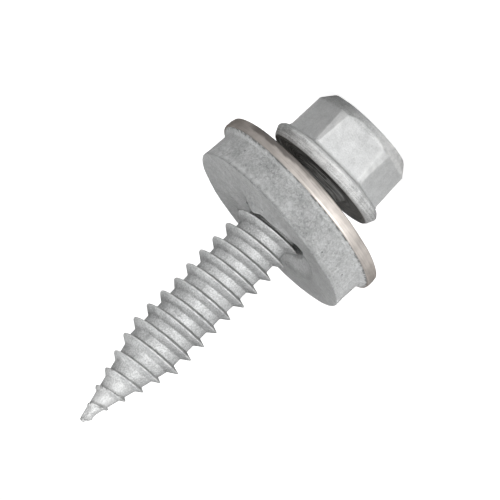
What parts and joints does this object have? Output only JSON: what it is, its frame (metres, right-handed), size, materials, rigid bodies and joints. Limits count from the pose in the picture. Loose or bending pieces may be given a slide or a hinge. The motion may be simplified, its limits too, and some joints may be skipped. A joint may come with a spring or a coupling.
{
  "type": "hexagon flange head tapping screw with sealing washer",
  "caption": "Hexagon flange head screw with a coarse right-hand thread, a sharp point and a captive bonded steel and rubber sealing washer.",
  "frame": {"origin": "middle of the head's flat top face, which the screw stands on", "axes": "+Z along the screw from its head to its point, -Y out of one flat of the hexagon, +X out of a corner"},
  "size_m": [0.0198, 0.0198, 0.0381],
  "materials": {
    "zinc_coated_steel": "satin",
    "stainless_washer": "satin",
    "epdm_rubber": "matt"
  },
  "bodies": {
    "screw_body": {"screw": "zinc_coated_steel"},
    "washer": {"washer_disc": "stainless_washer", "sealing_ring": "epdm_rubber"}
  },
  "joints": [
    {"name": "washer_slide", "type": "slide", "parent": "screw_body", "child": "washer", "axis": [0, 0, 1], "range_m": [-0.0014, 0.015]}
  ]
}
